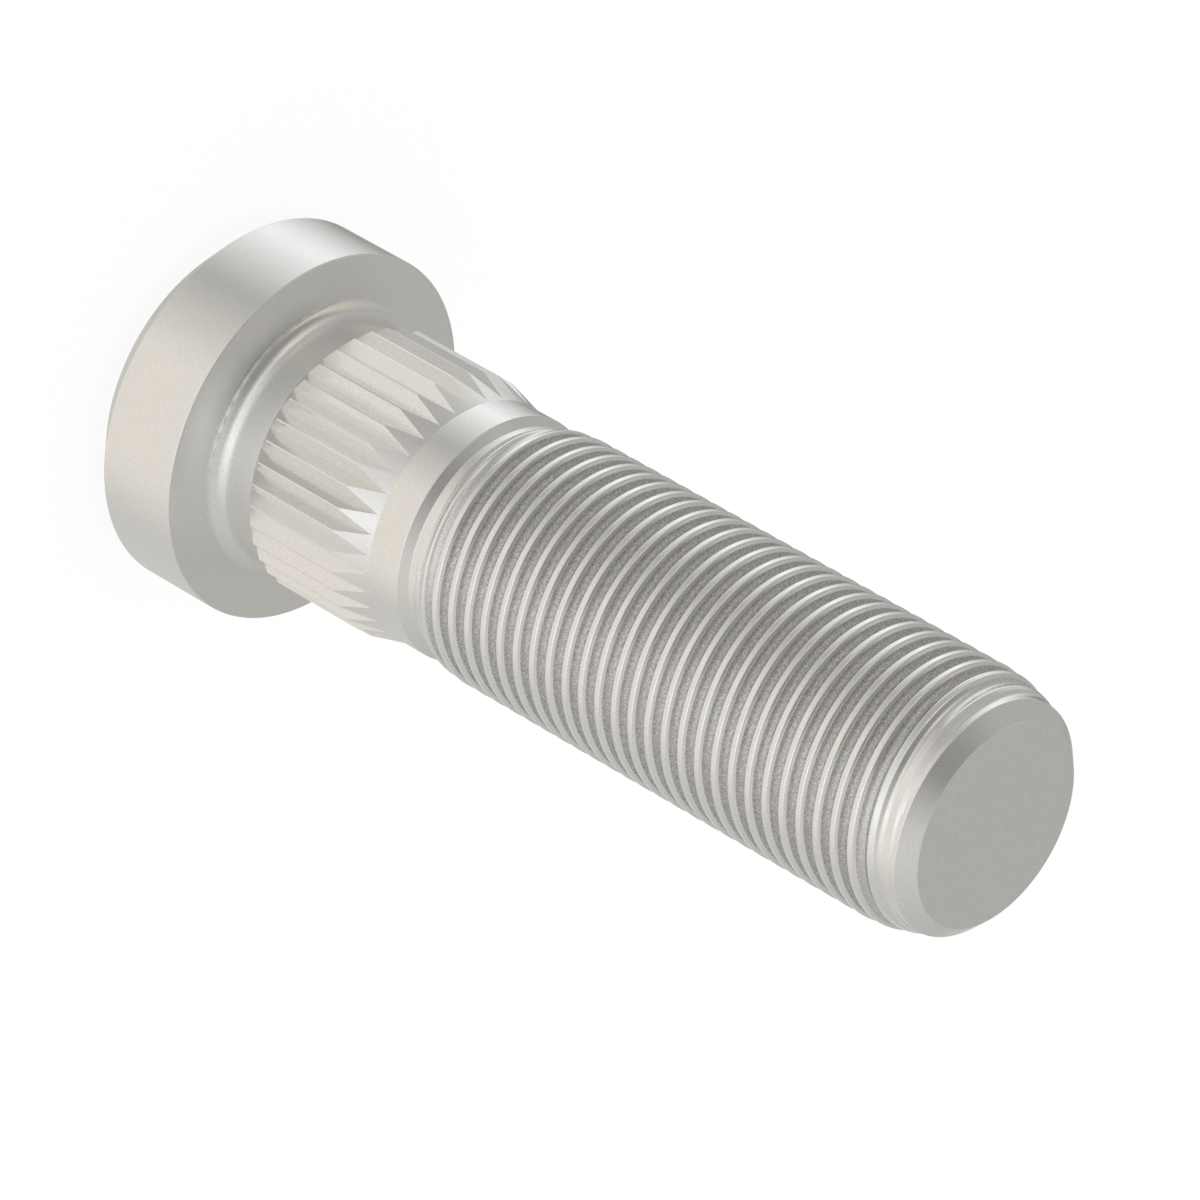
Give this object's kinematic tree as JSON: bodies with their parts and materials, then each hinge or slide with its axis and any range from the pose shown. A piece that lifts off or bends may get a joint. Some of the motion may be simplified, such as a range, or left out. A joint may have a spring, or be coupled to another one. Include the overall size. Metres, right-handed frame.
{
  "type": "wheel bolt",
  "caption": "Press-in wheel bolt with a round chamfered head, a serrated neck that bites into a hub flange, a plain collar and a fine-threaded shank with a chamfered tip.",
  "frame": {"origin": "centre of the head's back face, on which the bolt stands", "axes": "+Z along the bolt's axis from the head to the threaded tip; a serration crest points along -Y"},
  "size_m": [0.0322, 0.0322, 0.086],
  "materials": {
    "plated_steel": "satin bright zinc over steel"
  },
  "bodies": {
    "root": {"wheel_bolt": "plated_steel"}
  },
  "joints": []
}
